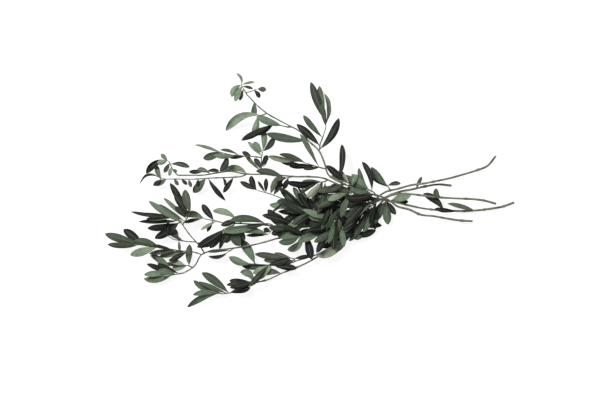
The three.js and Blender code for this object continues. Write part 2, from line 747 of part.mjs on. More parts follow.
// Whether a piece keeps its clearance. It is judged by its free part alone against its own shoot and against the
// wood that it grows from.
function fits(whole, free, self, host) {
  const wholeBox = whole.boundingBox();
  return placed.every(({ name, solid, rooted, box }) => {
    if ((name === self && rooted) || !boxesMeet(wholeBox, box, clearance)) return true;
    const freely = name === self || (name === host && !rooted);
    return (freely ? free : whole).minGap(solid, clearance) >= clearance;
  });
}

function limbAlong(points, radius, sides, step) {
  const curve = curveThrough(points);
  const steps = Math.max(3, Math.round(curve.getLength() / step));
  return { curve, radius, sides, steps };
}

// The point on the limbs' axes that is nearest in plan, kept a little inside the far end.
function nearestOn(limbs, x, y) {
  let best = { distance: Infinity };
  for (const { curve, radius, steps } of limbs) {
    const joints = curve.getSpacedPoints(steps);
    for (let k = 0; k < steps * chordParts; k += 1) {
      const joint = Math.floor(k / chordParts);
      const point = joints[joint].clone().lerp(joints[joint + 1], (k % chordParts) / chordParts);
      const distance = Math.hypot(point.x - x, point.y - y);
      if (distance < best.distance && point.distanceTo(joints[steps]) > radius) best = { distance, point };
    }
  }
  return best.point;
}

function stemLimb(points) {
  return limbAlong(points.map(place), stemDiameter / 2, stemSides, stemStep);
}

// A twig that starts on the axis of its host and rises from there, bent up or down where it would touch.
function growTwig(name, host, hostLimbs, route, thick) {
  const start = nearestOn(hostLimbs, route[0][0] * scale.x, route[0][1] * scale.y);
  const radius = thick / 2;
  for (let tries = 0; tries < 40; tries += 1) {
    const shift = (tries % 2 ? 1 : -1) * Math.ceil(tries / 2) * 0.8;
    const points = route.map(([x, y, rise], i) => {
      const share = i / (route.length - 1);
      const z = start.z + rise * scale.z + shift * share;
      return i ? new THREE.Vector3(x * scale.x, y * scale.y, Math.max(z, radius + floorGap)) : start.clone();
    });
    const item = limbAlong(points, radius, twigSides, twigStep);
    const free = { ...item, curve: curveThrough([item.curve.getPointAt(0.45), ...points.slice(-1)]) };
    if (fits(limb(item), limb(free), name, host)) return item;
  }
  throw new Error(`${name}: no room for a twig`);
}

// One way to hold a leaf: how far its tip rises above its base, and which way it is rolled.
function poseLeaf(base, row, rise, turn, share, swing) {
  const [, , tipX, tipY, seenWidth, bow, sideUp] = row;
  const tip = new THREE.Vector3(tipX * scale.x, tipY * scale.y, 0);
  tip.sub(base).applyAxisAngle(up, swing).add(base);
  tip.lerpVectors(new THREE.Vector3(base.x, base.y, 0), tip, share);
  const length = Math.hypot(tip.x - base.x, tip.y - base.y);
  tip.z = base.z + rise * length;
  const full = leafWidth * THREE.MathUtils.clamp(length / usualLeafLength, 0.4, 1.05);
  const seen = seenWidth * seenWidthShare;
  const width = Math.max(full, seen);
  const roll = turn * Math.min(Math.acos(seen / width), steepestRoll);
  const sideways = new THREE.Vector3(-(tip.y - base.y), tip.x - base.x, 0).multiplyScalar(2 * bow);
  const middle = base.clone().lerp(tip, 0.5).add(sideways).addScaledVector(up, 2 * archShare * length);
  return {
    spine: new THREE.QuadraticBezierCurve3(base.clone(), middle, tip),
    width,
    roll: roll + (sideUp === UNDER ? Math.PI : 0),
  };
}

function liftOffFloor(pose) {
  for (let tries = 0; tries < 6; tries += 1) {
    const low = floorGap - blade(pose).boundingBox().min[2];
    if (low <= 0) return true;
    pose.spine.v2.z += low * 1.3;
    pose.spine.v1.z += low * 0.9;
  }
  return false;
}

const rises = [0, 1, -1, 2, -2, 3, -3, 4, -4, 5, -5, 6, -6, 7, 8, 9, 10, 11, 12];
const drooping = 0.35;
const droop = -0.45;
const liftSpread = 0.3;
const riseStep = 0.07;
const chordParts = 10;
const lengthShares = [1, 0.94, 0.88, 0.8, 0.7, 0.6, 0.5];
const noSwing = [0];
const swings = [0, 0.15, -0.15, 0.3, -0.3, 0.45, -0.45, 0.65, -0.65, 0.9, -0.9, 1.2, -1.2];

// The first way to hold a leaf that clears everything placed before it: full length and straight on first, then
// shorter, then swung aside.
function roomForLeaf(name, host, limbs, row, seed, sides) {
  const base = nearestOn(limbs, row[0] * scale.x, row[1] * scale.y);
  const wish = noise(seed + 0.25) < drooping ? droop : (noise(seed) - 0.35) * liftSpread;
  const turns = noise(seed + 0.5) > 0.5 ? [1, -1, 0.5, -0.5] : [-1, 1, -0.5, 0.5];
  const rootLength = limbs[0].radius * 4 + rootReach;
  for (const swing of sides) {
    for (const share of lengthShares) {
      for (const rise of rises) {
        for (const turn of turns) {
          const pose = poseLeaf(base, row, wish + rise * riseStep, turn, share, swing);
          if (!liftOffFloor(pose)) continue;
          const free = blade(pose, Math.min(0.5, rootLength / pose.spine.getLength()));
          const whole = blade(pose);
          if (fits(whole, free, name, host)) {
            remember(name, free);
            remember(name, whole, true);
            return whole;
          }
        }
      }
    }
  }
  return null;
}

function growLeaf(name, host, limbs, row, seed) {
  const leaf = roomForLeaf(name, host, limbs, row, seed, swings);
  if (!leaf) throw new Error(`${name}: no room for the leaf at ${row}`);
  return leaf;
}

function isWithin(thicket, x, y) {
  const offset = new THREE.Vector2(x - thicket.x, y - thicket.y).rotateAround(new THREE.Vector2(), -thicket.tilt);
  return Math.hypot(offset.x / thicket.halfLength, offset.y / thicket.halfWidth) < 1;
}

const within = ([low, high], share) => low + (high - low) * share;

// Closer leaves for a shoot in the thick of the bunch: a pair at each step of its twigs, as far as there is room.
function thicketLeaves(name) {
  const leaves = [];
  for (const twig of limbsOf[name]) {
    const length = twig.curve.getLength();
    for (let run = thicketLeafGap; run < length; run += thicketLeafGap) {
      const base = twig.curve.getPointAt(run / length);
      const tangent = twig.curve.getTangentAt(run / length);
      for (const hand of [1, -1]) {
        leavesGrown += 1;
        const angle = Math.atan2(tangent.y, tangent.x) + hand * within(thicketTurns, noise(leavesGrown + 0.7));
        const reach = within(thicketLeafLengths, noise(leavesGrown + 0.3));
        const row = [
          base.x / scale.x,
          base.y / scale.y,
          base.x / scale.x + reach * Math.cos(angle),
          base.y / scale.y + reach * Math.sin(angle),
          within(thicketLeafWidths, noise(leavesGrown + 0.9)),
          within(thicketRises, noise(leavesGrown + 0.4)),
          noise(leavesGrown + 0.6) < thicketUpShare ? UP : UNDER,
        ];
        const inside = thickets.some((oval) => isWithin(oval, row[0], row[1]) && isWithin(oval, row[2], row[3]));
        const leaf = inside && roomForLeaf(name, name, limbsOf[name], row, leavesGrown, noSwing);
        if (leaf) leaves.push(leaf);
      }
    }
  }
  return leaves;
}

// The stems and twigs, each a list of limbs under its node's name, all placed before the first leaf.
const limbsOf = {};
for (const [name, points] of Object.entries(stems)) {
  limbsOf[name] = [stemLimb(points)];
  remember(name, limb(limbsOf[name][0]));
}
for (const [name, { host, twigs = [] }] of Object.entries(branches)) {
  const thick = name.startsWith('stem') ? forkDiameter : twigDiameter;
  limbsOf[name] = [];
  for (const route of twigs) {
    const from = limbsOf[name].length ? limbsOf[name] : limbsOf[host];
    limbsOf[name].push(growTwig(name, host, from, route, thick));
  }
  for (const twig of limbsOf[name]) remember(name, limb(twig));
}

// A branch's twigs and its own leaves.
function growBranch(name, { host, leaves = [] }) {
  const roots = limbsOf[name].length ? limbsOf[name] : limbsOf[host];
  const pieces = limbsOf[name].map((twig) => limb(twig));
  for (const row of leaves) {
    leavesGrown += 1;
    pieces.push(growLeaf(name, host, roots, row, leavesGrown));
  }
  return pieces;
}

// Joins a branch's pieces, and leaves the joint's gap where it grows from its host.
function joinBranch(pieces, host) {
  const joined = pieces.reduce((sum, piece) => sum.add(piece));
  const freed = limbsOf[host].reduce((rest, item) => rest.subtract(limb(item, jointGap)), joined);
  return freed.decompose().sort((a, b) => b.volume() - a.volume())[0];
}

let leavesGrown = 0;
const bunch = new THREE.Group();
for (const name of Object.keys(stems)) {
  bunch.add(meshOf(limb(limbsOf[name][0]), name, woodMaterial));
}
const grown = Object.entries(branches).map(([name, branch]) => ({
  name,
  host: branch.host,
  pieces: growBranch(name, branch),
}));
for (const { name, pieces } of grown) {
  if (name.startsWith('shoot')) pieces.push(...thicketLeaves(name));
}
for (const { name, host, pieces } of grown) {
  const material = name.startsWith('stem') ? woodMaterial : leafMaterial;
  bunch.add(meshOf(joinBranch(pieces, host), name, material));
}

const box = new THREE.Box3().setFromObject(bunch);
const middle = box.getCenter(new THREE.Vector3());
bunch.position.set(-middle.x, -middle.y, -box.min.z);

export default bunch;
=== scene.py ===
"""A bunch of dried olive branches lying on a pale surface: woody stems, leafy shoots and single leaves.

Every leaf and twig is rebuilt, in full detail, where the frame's own plain solids have it.
"""

import math
from itertools import combinations

import bpy
import numpy as np
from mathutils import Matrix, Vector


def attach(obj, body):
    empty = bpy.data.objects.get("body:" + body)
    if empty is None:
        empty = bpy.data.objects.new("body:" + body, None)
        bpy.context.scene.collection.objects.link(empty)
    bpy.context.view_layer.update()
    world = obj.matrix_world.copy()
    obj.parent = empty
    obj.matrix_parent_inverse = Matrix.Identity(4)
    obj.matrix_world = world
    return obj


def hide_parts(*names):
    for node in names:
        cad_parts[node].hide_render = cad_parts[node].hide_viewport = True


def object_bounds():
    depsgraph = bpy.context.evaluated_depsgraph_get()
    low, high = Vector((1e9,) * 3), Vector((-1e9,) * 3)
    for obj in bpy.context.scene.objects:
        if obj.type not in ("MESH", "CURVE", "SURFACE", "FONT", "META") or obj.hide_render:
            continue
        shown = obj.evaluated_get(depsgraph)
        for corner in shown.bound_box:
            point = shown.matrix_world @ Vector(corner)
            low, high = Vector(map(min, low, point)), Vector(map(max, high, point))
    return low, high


MM = 0.001

# How the frame draws a leaf: rings of four corners at these shares of its length, from tip to base. A ring has
# two edge corners, one on the upper face and one on the keel below.
TIP_RING = 0.76
MIDDLE_RING = 0.45
BASE_RING = 0.12
FRAME_PETIOLE = 1.3 * MM
FRAME_FULLNESS = 0.8
FRAME_WIDEST = 1.1
UPPER_HEIGHT = (0.08 * MM, 0.35 * MM)
KEEL_DEPTH = (0.4 * MM, 0.95 * MM)
LEAST_LEAF_WIDTH = 0.8 * MM
LEAST_TIP_LENGTH = 1.5 * MM

# How the frame draws wood: rings of five to seven corners.
CORNER_GRID = 0.002 * MM
RING_SPREAD = 2.2 * MM
LEAF_BASE_REACH = 3 * MM
LEAST_RUN = 0.8 * MM
LEAST_RADIUS = 0.5 * MM

# Leaf outline
LEAF_STEPS = 22
STEPS_TO_TIP = 0.92
LEAF_ACROSS = (-1.0, -0.92, -0.72, -0.42, -0.13, 0.0, 0.13, 0.42, 0.72, 0.92, 1.0)
LEAF_WIDER = 1.02
LEAF_FULLNESS = 0.57
LEAF_WIDEST = 1.48
TIP_BLUNTNESS = 0.995
BASE_NARROWING = 0.45
BASE_SHARE = 0.2
LEAST_HALF_WIDTH = 0.12 * MM

# Leaf section
STALK_SHARE = 0.16
PETIOLE_WIDTH = 1.15 * MM
PETIOLE_THICKNESS = 0.95 * MM
BLADE_THICKNESS = 0.34 * MM
MARGIN_THICKNESS = 0.16 * MM
MIDRIB_RIDGE = 0.42 * MM
MIDRIB_GROOVE = 0.16 * MM
MIDRIB_WIDTH = 0.55 * MM
TIP_LENGTH = 0.5 * MM

# How a leaf dries: how far it may twist, cup and wave, as angles or shares of its half width
FULL_TURN = 6.28
TWIST = 0.7
CUPPING = (-0.5, 0.44)
CUP_CURVE = 1.35
WAVE_HEIGHTS = (0.02, 0.07)
WAVE_COUNTS = (1.4, 2.6)
HALVES_APART = 0.9
LEANING = 0.06
FLOOR_GAP = 0.1 * MM

# Wood build
TWIG_SIDES = 10
STEM_SIDES = 16
TWIG_STEP = 1.6 * MM
STEM_STEP = 2.2 * MM
TWIG_RADII = (0.98 * MM, 0.62 * MM)
STEM_SLIMMER = 0.88
FORKED_STEM = "stem_6"
STEM_NODE_GAP = 31 * MM
TWIG_NODE_GAP = 15 * MM
NODE_SWELL = 0.10
BUD_SWELL = 0.42
BUD_TAPER = 2.6 * MM

# The rings that close an end, as (share of the wood's radius, how far on in radii)
CUT_RINGS = ((0.86, 0.10), (0.5, 0.10), (0.16, 0.04))
BUD_RINGS = ((0.6, 0.25),)

# Floor, light and camera
FLOOR_HALF = 6.0
FLOOR_TONE = 0.2
FLOOR_GLOW = 0.86
KEY_PLACE = (-0.9, 1.0, 1.7)
KEY_SIZE = 0.9
KEY_POWER = 77
SKY_STRENGTH = 0.46
LENS = 150.0
SENSOR = 36.0
VIEW_IN_LENGTHS = 1.4913
VIEW_MIDDLE = (0.4906, 0.4446, 0.45)
FAR_ENOUGH = 50.0

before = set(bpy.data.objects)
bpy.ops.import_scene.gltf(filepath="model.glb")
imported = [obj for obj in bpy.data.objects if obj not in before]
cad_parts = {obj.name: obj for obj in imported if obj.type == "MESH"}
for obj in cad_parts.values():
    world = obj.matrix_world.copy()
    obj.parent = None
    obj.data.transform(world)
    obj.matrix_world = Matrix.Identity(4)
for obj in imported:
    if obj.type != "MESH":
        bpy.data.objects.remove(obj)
frame_low, frame_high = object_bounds()


def unit(vector):
    return vector / np.linalg.norm(vector)


# ---------------------------------------------------------------- reading the frame's plain solids


def corners_and_triangles(node):
    """A node's corners, with those at one point made one, and its triangles."""
    mesh = node.data
    mesh.calc_loop_triangles()
    points = np.empty(len(mesh.vertices) * 3)
    mesh.vertices.foreach_get("co", points)
    points = points.reshape(-1, 3)
    triangles = np.empty(len(mesh.loop_triangles) * 3, np.int64)
    mesh.loop_triangles.foreach_get("vertices", triangles)
    keys = np.round(points / CORNER_GRID).astype(np.int64)
    _, first, same = np.unique(keys, axis=0, return_index=True, return_inverse=True)
    triangles = same.reshape(-1)[triangles].reshape(-1, 3)
    a, b, c = triangles.T
    return points[first], triangles[(a != b) & (b != c) & (a != c)]


def neighbours_of(triangles, count):
    """For each corner, the corners that share an edge with it."""
    near = [set() for _ in range(count)]
    for a, b, c in triangles.tolist():
        near[a] |= {b, c}
        near[b] |= {a, c}
        near[c] |= {a, b}
    return near


def leaf_section(points, around):
    """The ring of a plain leaf among these corners: (width, middle, direction of its upper face, corners)."""
    best = None
    for i, j in combinations(sorted(around), 2):
        middle = (points[i] + points[j]) / 2
        width = np.linalg.norm(points[i] - points[j])
        if width < LEAST_LEAF_WIDTH or (best and width <= best[0]):
            continue
        off = {k: np.linalg.norm(points[k] - middle) for k in around if k not in (i, j)}
        upper = [k for k in off if UPPER_HEIGHT[0] < off[k] < UPPER_HEIGHT[1]]
        keel = [k for k in off if KEEL_DEPTH[0] < off[k] < KEEL_DEPTH[1]]
        if upper and keel:
            facing = points[upper[0]] - points[keel[0]]
            best = (width, middle, facing, {i, j, upper[0], keel[0]})
    return best


def bezier(spine, along):
    base, bend, tip = spine
    t = np.asarray(along)[..., None]
    return (1 - t) ** 2 * base + 2 * t * (1 - t) * bend + t * t * tip


def bezier_direction(spine, along):
    base, bend, tip = spine
    t = np.asarray(along)[..., None]
    way = 2 * (1 - t) * (bend - base) + 2 * t * (tip - bend)
    return way / np.linalg.norm(way, axis=-1, keepdims=True)


def frame_half_share(along):
    return math.sin(math.pi * along**FRAME_WIDEST) ** FRAME_FULLNESS


def read_leaves(points, near):
    """Each leaf of a node as its spine, where its upper face looks and its width; and the corners they use."""
    leaves, used = [], set()
    for tip, ring in enumerate(near):
        if len(ring) != 4 or any(len(near[k] & ring) != 2 for k in ring):
            continue
        outer = leaf_section(points, ring)
        if outer is None or np.linalg.norm(points[tip] - outer[1]) < LEAST_TIP_LENGTH:
            continue
        inner = leaf_section(points, set().union(*(near[k] for k in ring)) - ring - {tip})
        if inner is None:
            continue
        known = ((TIP_RING, outer[1]), (MIDDLE_RING, inner[1]))
        terms = np.array([[(1 - t) ** 2, 2 * t * (1 - t)] for t, _ in known])
        rest = np.array([middle - t * t * points[tip] for t, middle in known])
        base, bend = np.linalg.solve(terms, rest)
        spine = (base, bend, points[tip])
        petiole = FRAME_PETIOLE / 2 * (1 - MIDDLE_RING) ** 3
        width = 2 * (inner[0] / 2 - petiole) / frame_half_share(MIDDLE_RING)
        leaves.append({"spine": spine, "facing": (inner[2], outer[2]), "width": width})
        used |= ring | inner[3] | {tip}
        target, way = bezier(spine, BASE_RING), bezier_direction(spine, BASE_RING)
        for k in set().union(*(near[k] for k in inner[3])) - used:
            off = points[k] - target
            if abs(off @ way) < 0.35 * MM and np.linalg.norm(off) < 0.32 * width + 0.5 * MM:
                used.add(k)
    return leaves, used


def read_wood(points, near, used, leaves):
    """The middles of the rings of a node's twigs, the size of each ring, and which ring follows which."""
    left = [k for k in range(len(points)) if k not in used]
    group, rings = {}, []
    for start in left:
        if start in group:
            continue
        group[start] = len(rings)
        todo, members = [start], []
        while todo:
            a = todo.pop()
            members.append(a)
            for b in left:
                if b not in group and np.linalg.norm(points[a] - points[b]) < RING_SPREAD:
                    group[b] = len(rings)
                    todo.append(b)
        rings.append(members)
    middles = np.array([points[members].mean(0) for members in rings])
    sizes = [np.linalg.norm(points[m] - middles[i], axis=1).mean() for i, m in enumerate(rings)]
    clean = [5 <= len(m) <= 7 for m in rings]
    bases = np.array([leaf["spine"][0] for leaf in leaves]).reshape(-1, 3)
    for i, middle in enumerate(middles):
        close = bases[np.linalg.norm(bases - middle, axis=1) < LEAF_BASE_REACH]
        if len(close):
            middles[i] = close.mean(0)
            clean[i] = False
    links = {tuple(sorted((group[a], group[b]))) for a in left for b in near[a] if b in group}
    joined = spanning_tree(middles, [pair for pair in links if pair[0] != pair[1]])
    stray = {i for i, m in enumerate(rings) if len(m) < 3 and len(joined[i]) == 2}
    for i in stray:
        a, b = joined[i]
        joined[a] = [b if k == i else k for k in joined[a]]
        joined[b] = [a if k == i else k for k in joined[b]]
        joined[i] = []
    return {"middles": middles, "sizes": sizes, "clean": clean, "joined": joined}


def spanning_tree(middles, links):
    """Which rings are joined, with the shortest links first and no loops."""
    parent = list(range(len(middles)))
    joined = [[] for _ in middles]

    def top(i):
        while parent[i] != i:
            i = parent[i]
        return i

    lengths = {pair: np.linalg.norm(middles[pair[0]] - middles[pair[1]]) for pair in links}
    for a, b in sorted(lengths, key=lambda pair: (lengths[pair], pair)):
        if top(a) != top(b):
            parent[top(a)] = top(b)
            joined[a].append(b)
            joined[b].append(a)
    return joined


def longest_run(wood, start, taken):
    """The longest way along the wood from a ring, through rings that no other run has."""
    best, todo = ([start], 0.0), [([start], 0.0)]
    while todo:
        way, length = todo.pop()
        if length > best[1]:
            best = (way, length)
        for k in wood["joined"][way[-1]]:
            if k not in way and k not in taken:
                step = np.linalg.norm(wood["middles"][k] - wood["middles"][way[-1]])
                todo.append((way + [k], length + step))
    return best[0]


def wood_runs(wood, start):
    """All of a node's wood as runs of rings: the main one from its root, then each fork from its start."""
    first = longest_run(wood, start, set())
    runs, taken = [first], set(first)
    grew = True
    while grew:
        grew = False
        for i in sorted(taken):
            way = longest_run(wood, i, taken)
            if len(way) > 1:
                runs.append(way)
                taken |= set(way)
                grew = True
                break
    return runs


# ---------------------------------------------------------------- mesh making


def smooth_line(points, step):
    """A smooth line through the points, in even steps."""
    kept = [points[0]]
    for p in points[1:]:
        if np.linalg.norm(p - kept[-1]) > 2.0 * MM:
            kept.append(p)
    if len(kept) < 2:
        kept = [points[0], points[-1]]
    p = np.array([2 * kept[0] - kept[1], *kept, 2 * kept[-1] - kept[-2]])
    dense = []
    for i in range(1, len(p) - 2):
        a, b, c, d = p[i - 1 : i + 3]
        gaps = [max(1e-6, np.linalg.norm(q - r)) ** 0.5 for q, r in ((b, a), (c, b), (d, c))]
        m1 = (c - b) + gaps[1] * ((b - a) / gaps[0] - (c - a) / (gaps[0] + gaps[1]))
        m2 = (c - b) + gaps[1] * ((d - c) / gaps[2] - (d - b) / (gaps[1] + gaps[2]))
        for t in np.linspace(0, 1, 12, endpoint=False):
            dense.append(
                (2 * t**3 - 3 * t**2 + 1) * b
                + (t**3 - 2 * t**2 + t) * m1
                + (3 * t**2 - 2 * t**3) * c
                + (t**3 - t**2) * m2
            )
    dense.append(p[-2])
    dense = np.array(dense)
    run = np.concatenate([[0], np.cumsum(np.linalg.norm(np.diff(dense, axis=0), axis=1))])
    count = max(4, int(round(run[-1] / step)) + 1)
    even = np.linspace(0, run[-1], count)
    return np.stack([np.interp(even, run, dense[:, k]) for k in range(3)], axis=1), even


def carried_frames(line):
    """Directions along a line, and two across it that don't spin."""
    way = np.gradient(line, axis=0)
    way /= np.linalg.norm(way, axis=1, keepdims=True)
    side = np.empty_like(way)
    helper = np.array([0, 0, 1.0]) if abs(way[0][2]) < 0.9 else np.array([1.0, 0, 0])
    side[0] = unit(np.cross(way[0], helper))
    for i in range(1, len(line)):
        side[i] = unit(side[i - 1] - (side[i - 1] @ way[i]) * way[i])
    return way, side, np.cross(way, side)


class Shape:
    """Corners and faces, with values that the materials read, gathered from many leaves or twigs."""

    def __init__(self, *values):
        self.points, self.faces, self.count = [], [], 0
        self.values = {name: [] for name in values}
        self.face_values = []

    def add(self, points, faces, face_value, **values):
        self.points.append(points)
        self.faces.extend(tuple(i + self.count for i in face) for face in faces)
        self.face_values.extend(face_value)
        for name in self.values:
            self.values[name].append(np.broadcast_to(values[name], len(points)))
        self.count += len(points)

    def made(self, name, face_name, material):
        mesh = bpy.data.meshes.new(name)
        mesh.from_pydata(np.concatenate(self.points).tolist(), [], self.faces)
        for key, parts in self.values.items():
            layer = mesh.attributes.new(key, "FLOAT", "POINT")
            layer.data.foreach_set("value", np.concatenate(parts).astype(np.float32))
        layer = mesh.attributes.new(face_name, "FLOAT", "FACE")
        layer.data.foreach_set("value", np.array(self.face_values, np.float32))
        mesh.validate()
        mesh.shade_smooth()
        mesh.materials.append(material)
        piece = bpy.data.objects.new(name, mesh)
        bpy.context.scene.collection.objects.link(piece)
        return piece


def tube_faces(rings, sides):
    faces = []
    for i in range(rings - 1):
        for k in range(sides):
            a, b = i * sides + k, i * sides + (k + 1) % sides
            faces.append((a, b, b + sides, a + sides))
    return faces


def grow_leaf(shape, leaf, chance):
    """One leaf: a short petiole that widens into a thin blade, with a midrib, and a margin that rolls."""
    u = np.linspace(0, 1, LEAF_STEPS + 1) ** STEPS_TO_TIP
    spine = leaf["spine"]
    middle, way = bezier(spine, u), bezier_direction(spine, u)
    blend = np.clip((u - MIDDLE_RING) / (TIP_RING - MIDDLE_RING), -0.4, 1.3)[:, None]
    facing = unit(leaf["facing"][0]) * (1 - blend) + unit(leaf["facing"][1]) * blend
    facing -= (facing * way).sum(1, keepdims=True) * way
    facing /= np.linalg.norm(facing, axis=1, keepdims=True)

    turn = chance.uniform(-TWIST, TWIST) * (u - MIDDLE_RING)
    cup = chance.uniform(*CUPPING) * np.clip((u - 0.08) / 0.3, 0, 1)
    wave, waves = chance.uniform(*WAVE_HEIGHTS), chance.uniform(*WAVE_COUNTS)
    phase = chance.uniform(0, FULL_TURN)
    lean = chance.uniform(-LEANING, LEANING)
    tone, age = chance.random(), chance.random()

    side = np.cross(way, facing)
    side, facing = (
        side * np.cos(turn)[:, None] + facing * np.sin(turn)[:, None],
        facing * np.cos(turn)[:, None] - side * np.sin(turn)[:, None],
    )
    outline = np.sin(np.pi * np.clip(u, 0, TIP_BLUNTNESS) ** LEAF_WIDEST) ** LEAF_FULLNESS
    half = leaf["width"] / 2 * LEAF_WIDER * outline
    half *= 1 - BASE_NARROWING * np.clip((BASE_SHARE - u) / BASE_SHARE, 0, 1)
    stalk = np.clip(1 - u / STALK_SHARE, 0, 1) ** 1.5
    half = np.maximum(half, PETIOLE_WIDTH / 2 * (0.75 + 0.25 * stalk) * (u < 0.5))
    half = np.maximum(half, LEAST_HALF_WIDTH)

    across = np.array(LEAF_ACROSS)
    loop = np.concatenate([across, across[-2:0:-1]])
    upper = np.concatenate([np.ones(len(across)), -np.ones(len(across) - 2)])
    at = loop[None, :] * half[:, None]
    rib = np.exp(-((at / (MIDRIB_WIDTH / 2)) ** 2)) * (1 - 0.75 * u[:, None])
    lens = np.sqrt(np.clip(1 - loop**2, 0, 1))[None, :]
    blade = MARGIN_THICKNESS + (BLADE_THICKNESS - MARGIN_THICKNESS) * lens
    thick = blade * (1 - stalk[:, None]) + PETIOLE_THICKNESS * lens * stalk[:, None]
    thick = thick * np.clip((1.02 - u) / 0.12, 0.25, 1)[:, None]
    edge = np.abs(loop) >= 1
    lift = np.where(edge, 0, upper) * thick / 2
    lift += np.where(upper > 0, -MIDRIB_GROOVE, -MIDRIB_RIDGE) * rib * (1 - stalk[:, None]) * ~edge
    ripple = np.sin(waves * 2 * np.pi * u[:, None] + phase + HALVES_APART * np.sign(loop)[None, :])
    lift += half[:, None] * (
        cup[:, None] * np.abs(loop)[None, :] ** CUP_CURVE
        + wave * ripple * np.abs(loop)[None, :] ** 2
        + lean * loop[None, :]
    )
    points = middle[:, None, :] + side[:, None, :] * at[..., None] + facing[:, None, :] * lift[..., None]

    # No section of the leaf goes under the floor.
    sunk = np.maximum(FLOOR_GAP - points[..., 2].min(axis=1), 0)
    points[..., 2] += sunk[:, None]
    middle[:, 2] += sunk

    count = len(loop)
    points = np.concatenate([points.reshape(-1, 3), [middle[0], middle[-1] + way[-1] * TIP_LENGTH]])
    faces = tube_faces(len(u), count)
    last = len(points) - 1
    faces += [(last - 1, (k + 1) % count, k) for k in range(count)]
    faces += [(last, last - 1 - count + k, last - 1 - count + (k + 1) % count) for k in range(count)]
    seen = [1.0 if k < len(across) - 1 else 0.0 for k in range(count)]
    shape.add(
        points,
        faces,
        seen * (len(u) + 1),
        leaf_along=np.concatenate([np.repeat(u, count), [0, 1]]),
        leaf_across=np.concatenate([np.tile(loop, len(u)), [0, 0]]),
        leaf_tone=tone,
        leaf_age=age,
    )


def grow_wood(shape, line, run, radii, sides, gap, chance, cut):
    """One stem or twig along a line, with swollen nodes, pairs of buds, and a bud or a cut face at its start."""
    total = run[-1]
    way, side, over = carried_frames(line)
    share = run / total
    radius = radii[0] + (radii[1] - radii[0]) * share
    angle = np.linspace(0, 2 * np.pi, sides, endpoint=False)
    swell = np.zeros((len(run), sides))
    place, quarter = chance.uniform(0.3, 0.7) * gap, chance.uniform(0, np.pi)
    while place < total - 2 * MM:
        near = np.exp(-(((run - place) / (1.5 * radii[0])) ** 2))[:, None]
        pair = np.cos(angle - quarter)[None, :] ** 6
        swell += near * (NODE_SWELL + BUD_SWELL * pair)
        place += gap * chance.uniform(0.75, 1.3)
        quarter += np.pi / 2
    phase = chance.uniform(0, FULL_TURN, 4)
    swell += 0.035 * np.sin(3 * angle[None, :] + run[:, None] / (9 * MM) + phase[0])
    swell += 0.03 * np.sin(2 * angle[None, :] - run[:, None] / (14 * MM) + phase[1])
    swell += 0.04 * np.sin(run / (11 * MM) + phase[2])[:, None]
    reach = radius[:, None] * (1 + swell)
    reach *= np.clip((total - run) / BUD_TAPER, 0.12, 1)[:, None] ** 0.6
    spread = np.cos(angle)[None, :, None] * side[:, None, :]
    spread = spread + np.sin(angle)[None, :, None] * over[:, None, :]
    points = (line[:, None, :] + spread * reach[..., None]).reshape(-1, 3)
    faces = tube_faces(len(run), sides)
    bare_wood = [0.0] * len(faces)
    values = np.repeat(share, sides)
    for i, end in ((0, False), (len(run) - 1, True)):
        bare = 1.0 if cut and not end else 0.0
        ring = list(range(i * sides, (i + 1) * sides))
        outward = way[i] * (1 if end else -1)
        for inset, out in CUT_RINGS if bare else BUD_RINGS:
            start = len(points)
            loop = line[i] + spread[i] * (reach[i] * inset)[:, None] + outward * out * radius[i]
            points = np.concatenate([points, loop])
            values = np.concatenate([values, np.full(sides, share[i])])
            now = list(range(start, start + sides))
            for k in range(sides):
                m = (k + 1) % sides
                quad = (ring[k], ring[m], now[m], now[k]) if end else (ring[m], ring[k], now[k], now[m])
                faces.append(quad)
                bare_wood.append(bare)
            ring = now
        faces.append(tuple(ring) if end else tuple(reversed(ring)))
        bare_wood.append(bare)
    shape.add(points, faces, bare_wood, wood_along=values * total / MM)


# ---------------------------------------------------------------- materials


def paint(red, green, blue):
    """A colour given as it looks, from 0 to 255, as Blender's linear one."""
    linear = [((c / 255 + 0.055) / 1.055) ** 2.4 if c > 10 else c / 255 / 12.92 for c in (red, green, blue)]
    return (*linear, 1.0)


